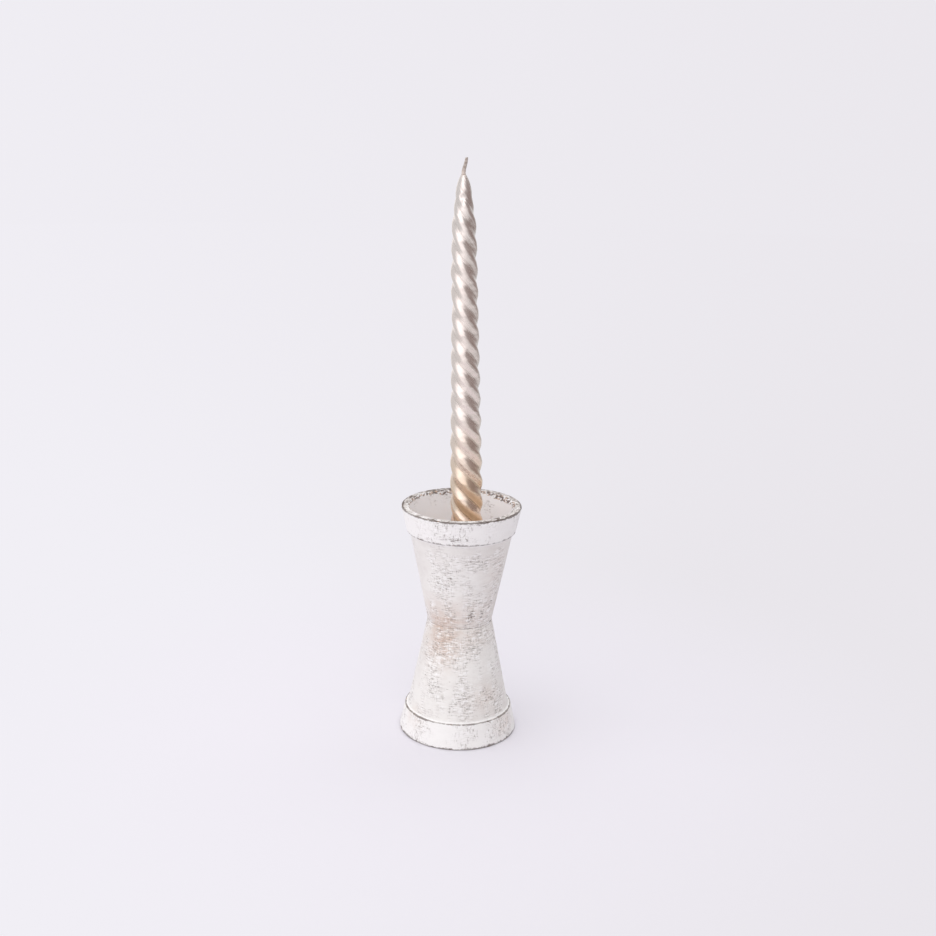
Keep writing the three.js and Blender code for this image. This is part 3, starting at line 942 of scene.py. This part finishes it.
# Wick
# A braided cotton cord up the middle of the candle, dipped with it, so the stub is stiff and faintly gold,
# with a collar of lacquer at its root. The stub sways to one side and curls over at its tip.
WICK_RADIUS = 0.0014
WICK_TIP_RADIUS = 0.0009
WICK_STUB = 0.012
WICK_SWAY, SWAY_FROM, SWAY_TO = 0.0017, 0.1, 0.85
TIP_CURL, CURL_POWER = 0.0006, 6
COLLAR_SWELL, COLLAR_SHARE = 0.0001, 0.2
PLAIT_PITCH = 0.0026
PLAIT_RELIEF, STRAND_LEVEL = 0.05, 0.6
HIDDEN_ROWS, STUB_ROWS = 60, 160
HIDDEN_END, STUB_START = 0.0020, 0.0019
WICK_COLUMNS = 48

hidden_rise = np.linspace(0, CANDLE_LENGTH - HIDDEN_END, HIDDEN_ROWS)
stub_rise = np.linspace(-STUB_START, WICK_STUB, STUB_ROWS) + CANDLE_LENGTH
wick_rise = np.concatenate([hidden_rise, stub_rise])[:, None]
wick_share = np.clip((wick_rise - CANDLE_LENGTH) / WICK_STUB, 0, 1)
wick_turn = (np.arange(WICK_COLUMNS) / WICK_COLUMNS * 2 * np.pi)[None]
plait = wick_rise / PLAIT_PITCH * 2 * np.pi
strands = np.maximum(np.cos(2 * wick_turn - plait), np.cos(2 * wick_turn + plait))
wick_taper = WICK_RADIUS + (WICK_TIP_RADIUS - WICK_RADIUS) * wick_share**2
collar = COLLAR_SWELL * np.exp(-((wick_share / COLLAR_SHARE) ** 2)) * (wick_share > 0)
wick_radius = wick_taper * (1 + PLAIT_RELIEF * (strands - STRAND_LEVEL)) + collar
wick_curl = TIP_CURL * wick_share**CURL_POWER
wick_sway = WICK_SWAY * smooth_step(SWAY_FROM, SWAY_TO, wick_share) + wick_curl
wick_grid = on_candle(wick_radius, wick_turn, wick_rise - wick_curl) + wick_sway[..., None] * across
wick_mesh = grid_mesh("braided_wick", wick_grid, "capped", {"strand": strands, "bare": wick_share})

COTTON_GOLD = srgb(192, 180, 172)
COTTON_DARK_AND_SHADE = srgb(152, 137, 129)
COTTON_DIPPED = srgb(212, 198, 189)
FIBRE_WAVES = (2600, 2600, 900)
FIBRE_DEPTH = 0.0001


def lacquered_cotton(name):
    """Cotton plait stiff with gold lacquer: painted shade between its strands, with fine fibres, and
    paler at its root, where the lacquer covers it."""
    material, cotton = new_material(name)
    place = cotton.node("ShaderNodeTexCoord", {}, {}, "Object")
    fibre = cloud(place, FIBRE_WAVES, 2)
    # Painted shade between the strands of the plait.
    gap = attribute(cotton, "strand").ramp(0.75, 0.2)
    colour = (0.6 * gap + 0.5 * fibre.ramp(0.45, 0.7)).mix(COTTON_GOLD, COTTON_DARK_AND_SHADE)
    colour = attribute(cotton, "bare").ramp(0.45, 0.1).mix(colour, COTTON_DIPPED)
    finish_material(cotton, {
        "Base Color": colour,
        "Metallic": 0.15,
        "Roughness": 0.62 + 0.2 * (fibre - 0.5),
        "Normal": bumped(cotton, 0.5, FIBRE_DEPTH, fibre),
    })
    return material


wick = new_piece(wick_mesh, lacquered_cotton("lacquered_cotton"))
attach(wick, "candle")
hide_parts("wick")

# Table
# A wide sheet of pale lilac paper under the candlestick, which takes its shadow. Away from the object it
# turns into the plain backdrop, so that no horizon shows from any side, and where the gold mirrors it, into
# the colours of the room.
PAPER = srgb(230, 227, 234)
BACKDROP_LEFT = srgb(241, 239, 245)
BACKDROP_RIGHT = srgb(233, 230, 235)
BACKDROP_SPAN = 0.8
TABLE_RADII = (0.001, 0.02, 0.06, 0.15, 0.4, 0.9, 2.0, 4.0)
TABLE_COLUMNS = 128
TOOTH_WAVES = (700, 700, 700)
TOOTH_DEPTH = 0.0001
FADE_FROM, FADE_TO = 0.09, 0.42
OBJECT_MIDDLE = (0.0, 0.0, 0.25)
# What the gold mirrors. An edge of the window or of the dim side is a plane through the object's middle,
# given by its normal and by how far to each side of it, as a sine, the edge is soft.
ROOM_MIRRORED = (0.71, 0.735, 0.74, 1.0)
TABLE_MIRRORED = (0.78, 0.76, 0.75, 1.0)
TABLE_LOW, TABLE_LEVEL = -0.75, -0.35
DIM_SIDE = (0.285, 0.234, 0.22, 1.0)
DIM_LEFT, DIM_LEFT_SOFT = (0.8160, 0.1439, -0.5598), 0.80
DIM_RIGHT, DIM_RIGHT_SOFT = (-0.6603, 0.6475, 0.3805), 0.58
DIM_LOW, DIM_LEVEL = -0.53, -0.03
REAR_GLOW = (1.10, 1.09, 1.08, 1.0)
REAR_CENTRE = (-0.2532, 0.9448, 0.2079)
REAR_FROM, REAR_TO = math.cos(math.radians(42)), math.cos(math.radians(8))
WINDOW_LIGHT = (1.36, 1.35, 1.34, 1.0)
WINDOW_MIRRORED = (1.60, 1.60, 1.62, 1.0)
WINDOW_LEFT, WINDOW_LEFT_SOFT = (0.5685, -0.7760, -0.2731), 0.365
WINDOW_RIGHT, WINDOW_RIGHT_SOFT = (0.7954, 0.5668, 0.2144), 0.185
WINDOW_SILL, WINDOW_SILL_FROM, WINDOW_SILL_TO = (-0.5484, 0.0, 0.8362), -0.64, 0.68

table_radius = np.array(TABLE_RADII)[::-1, None]
table_turn = (np.arange(TABLE_COLUMNS) / TABLE_COLUMNS * 2 * np.pi)[None]
table_x = table_radius * np.cos(table_turn)
table_y = table_radius * np.sin(table_turn)
table_mesh = grid_mesh("paper_table", np.stack([table_x, table_y, 0 * table_x], -1), "open", {})


def seen_directly(field):
    """1 for rays from the camera, and for those mirrored or let through by a surface, and 0 for others."""
    camera = field.node("ShaderNodeLightPath", {}, {}, "Is Camera Ray")
    mirrored = field.node("ShaderNodeLightPath", {}, {}, "Is Glossy Ray")
    through = field.node("ShaderNodeLightPath", {}, {}, "Is Transmission Ray")
    return field.math("MAXIMUM", camera, field.math("MAXIMUM", mirrored, through))


def backdrop(direction):
    """The backdrop's colour by direction: a little brighter on the left than on the right."""
    rightward = direction.node("ShaderNodeSeparateXYZ", {}, {0: direction}, "X")
    return rightward.ramp(-BACKDROP_SPAN, BACKDROP_SPAN).mix(BACKDROP_LEFT, BACKDROP_RIGHT)


def towards(direction, centre):
    """Cosine of the angle between a direction and a centre, which is their dot product."""
    settings = {"operation": "DOT_PRODUCT"}
    return direction.node("ShaderNodeVectorMath", settings, {0: direction, 1: centre}, "Value")


def window_seen(direction):
    """How far a direction looks into the window: between its left and right edges and over its sill."""
    left = towards(direction, WINDOW_LEFT).ramp(-WINDOW_LEFT_SOFT, WINDOW_LEFT_SOFT)
    right = towards(direction, WINDOW_RIGHT).ramp(WINDOW_RIGHT_SOFT, -WINDOW_RIGHT_SOFT)
    return left * right * towards(direction, WINDOW_SILL).ramp(WINDOW_SILL_FROM, WINDOW_SILL_TO)


def room_mirrored(direction):
    """What the gold mirrors in a direction: a pale room and table, dim on the right, with a paler wall
    behind and the window in front."""
    upward = direction.node("ShaderNodeSeparateXYZ", {}, {0: direction}, "Z")
    light = upward.ramp(TABLE_LOW, TABLE_LEVEL).mix(TABLE_MIRRORED, ROOM_MIRRORED)
    dim = towards(direction, DIM_LEFT).ramp(-DIM_LEFT_SOFT, DIM_LEFT_SOFT)
    dim = dim * towards(direction, DIM_RIGHT).ramp(DIM_RIGHT_SOFT, -DIM_RIGHT_SOFT)
    light = (dim * upward.ramp(DIM_LOW, DIM_LEVEL)).mix(light, DIM_SIDE)
    light = towards(direction, REAR_CENTRE).ramp(REAR_FROM, REAR_TO).mix(light, REAR_GLOW)
    return window_seen(direction).mix(light, WINDOW_MIRRORED)


def paper(name):
    """Matt paper with a faint tooth, which fades with distance to the backdrop's own colour, or to the
    room's where the gold mirrors it."""
    material, sheet = new_material(name)
    place = sheet.node("ShaderNodeTexCoord", {}, {}, "Object")
    tooth = cloud(place, TOOTH_WAVES, 2)
    grain = bumped(sheet, 0.1, TOOTH_DEPTH, tooth)
    matt = sheet.node("ShaderNodeBsdfDiffuse", {}, {"Color": PAPER, "Normal": grain})
    distance = sheet.node("ShaderNodeVectorMath", {"operation": "LENGTH"}, {0: place}, "Value")
    outward = sheet.node("ShaderNodeVectorMath", {"operation": "NORMALIZE"}, {0: place})
    mirrored = sheet.node("ShaderNodeLightPath", {}, {}, "Is Glossy Ray")
    away = sheet.node("ShaderNodeVectorMath", {"operation": "SUBTRACT"}, {0: place, 1: OBJECT_MIDDLE})
    away = sheet.node("ShaderNodeVectorMath", {"operation": "NORMALIZE"}, {0: away})
    shown = mirrored.mix(backdrop(outward), room_mirrored(away))
    far = sheet.node("ShaderNodeEmission", {}, {"Color": shown, "Strength": 1.0})
    fade = distance.ramp(FADE_FROM, FADE_TO) * seen_directly(sheet)
    surface = sheet.node("ShaderNodeMixShader", {}, {0: fade, 1: matt, 2: far})
    sheet.node("ShaderNodeOutputMaterial", {}, {"Surface": surface})
    return material


table = new_piece(table_mesh, paper("pale_lilac_paper"))

# Light and backdrop
# Soft daylight from a wide slanting window above the camera and from the ceiling, in a pale room that is
# brighter behind and dimmer on the right. A broad lamp stands for the daylight off the wall on the left.
ROOM_MATT = (0.60, 0.60, 0.61, 1.0)
ROOM_RIGHT = (0.44, 0.44, 0.45, 1.0)
RIGHT_FROM, RIGHT_TO = 0.2, 0.9
REAR_LIGHT = (0.86, 0.86, 0.87, 1.0)
REARWARD_FROM, REARWARD_TO = 0.1, 0.6
CEILING_LIGHT = (1.62, 1.61, 1.61, 1.0)
CEILING_FROM, CEILING_TO = math.sin(math.radians(45)), math.sin(math.radians(75))
WALL_AZIMUTH, WALL_ELEVATION, WALL_DISTANCE = -72, 22, 2.0
WALL_WIDTH, WALL_HEIGHT = 2.0, 1.6
WALL_RADIANCE = 0.80
WALL_COLOUR = (1.0, 0.99, 0.99)

scene = bpy.context.scene
room = bpy.data.worlds.new("pale_room")
room.use_nodes = True
room.node_tree.nodes.clear()
scene.world = room
sky = Field(room.node_tree)
# In a world, Generated is the direction of the ray.
direction = sky.node("ShaderNodeTexCoord", {}, {}, "Generated")
rightward = sky.node("ShaderNodeSeparateXYZ", {}, {0: direction}, "X")
rearward = sky.node("ShaderNodeSeparateXYZ", {}, {0: direction}, "Y")
upward = sky.node("ShaderNodeSeparateXYZ", {}, {0: direction}, "Z")
camera_ray = sky.node("ShaderNodeLightPath", {}, {}, "Is Camera Ray")
glossy_ray = sky.node("ShaderNodeLightPath", {}, {}, "Is Glossy Ray")
room_light = rightward.ramp(RIGHT_FROM, RIGHT_TO).mix(ROOM_MATT, ROOM_RIGHT)
room_light = rearward.ramp(REARWARD_FROM, REARWARD_TO).mix(room_light, REAR_LIGHT)
room_light = window_seen(direction).mix(room_light, WINDOW_LIGHT)
room_light = glossy_ray.mix(room_light, room_mirrored(direction))
room_light = upward.ramp(CEILING_FROM, CEILING_TO).mix(room_light, CEILING_LIGHT)
room_seen = camera_ray.mix(room_light, backdrop(direction))
background = sky.node("ShaderNodeBackground", {}, {"Color": room_seen, "Strength": 1.0})
sky.node("ShaderNodeOutputWorld", {}, {"Surface": background})

left_wall = bpy.data.objects.new("left_wall", bpy.data.lights.new("left_wall", "AREA"))
left_wall.data.shape = "RECTANGLE"
left_wall.data.size = WALL_WIDTH
left_wall.data.size_y = WALL_HEIGHT
left_wall.data.energy = WALL_RADIANCE * math.pi * WALL_WIDTH * WALL_HEIGHT
left_wall.data.color = WALL_COLOUR
left_wall.visible_camera = False
left_wall.visible_glossy = False
scene.collection.objects.link(left_wall)
left_wall.matrix_world = (
    Matrix.Translation(OBJECT_MIDDLE)
    @ Matrix.Rotation(math.radians(WALL_AZIMUTH), 4, "Z")
    @ Matrix.Rotation(math.radians(QUARTER_TURN - WALL_ELEVATION), 4, "X")
    @ Matrix.Translation((0, 0, WALL_DISTANCE))
)

# Camera
# A normal lens a little above the candle's tip and straight in front, tilted down at the candlestick. It is
# turned slightly on its own axis, because the photograph isn't quite level.
CAMERA_PLACE = (0.00392, -0.8767, 0.4454)
CAMERA_PITCH = 15.819
CAMERA_ROLL = 1.172
LENS, SENSOR = 50.0, 36.0

camera = bpy.data.objects.new("camera", bpy.data.cameras.new("camera"))
camera.data.lens = LENS
camera.data.sensor_width = SENSOR
scene.collection.objects.link(camera)
camera.matrix_world = (
    Matrix.Translation(CAMERA_PLACE)
    @ Matrix.Rotation(math.radians(QUARTER_TURN - CAMERA_PITCH), 4, "X")
    @ Matrix.Rotation(math.radians(CAMERA_ROLL), 4, "Z")
)
scene.camera = camera
scene.view_settings.view_transform = "Standard"
